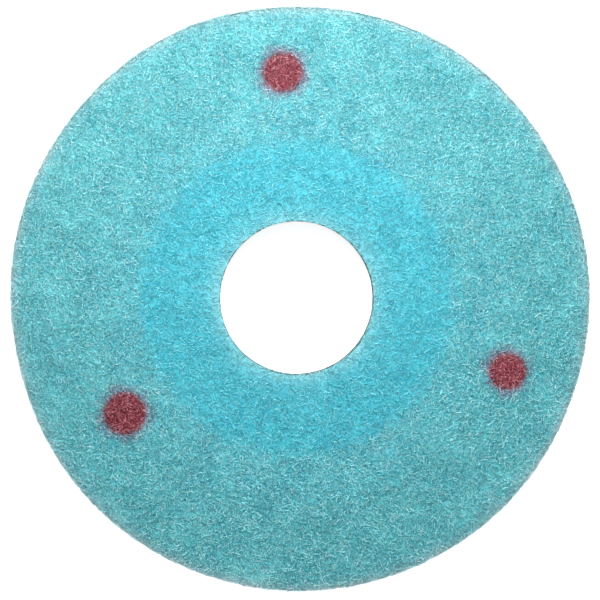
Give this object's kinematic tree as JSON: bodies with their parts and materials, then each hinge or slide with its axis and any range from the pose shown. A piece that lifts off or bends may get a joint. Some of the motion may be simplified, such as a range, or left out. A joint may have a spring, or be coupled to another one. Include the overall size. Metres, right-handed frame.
{
  "type": "rotary floor machine pad",
  "caption": "Round non-woven floor pad with a centre hole, an abrasive-coated outer ring, a plain inner ring and colour spots.",
  "frame": {"origin": "centre of the pad's back face, on the hole's axis; the pad lies on that face", "axes": "+Z along the hole's axis, from the back face to the abrasive-coated working face; +Y towards the first colour spot, to within a few degrees"},
  "size_m": [0.33, 0.33, 0.022],
  "materials": {
    "binder_crust": "matte",
    "open_web": "matte",
    "plain_face": "matte",
    "abrasive_coat": "matte",
    "colour_spot": "matte"
  },
  "bodies": {
    "root": {"back_layer": "binder_crust", "web_core": "open_web", "working_layer": "plain_face", "abrasive_coat": "abrasive_coat", "colour_spot_1": "colour_spot", "colour_spot_2": "colour_spot", "colour_spot_3": "colour_spot"}
  },
  "joints": []
}
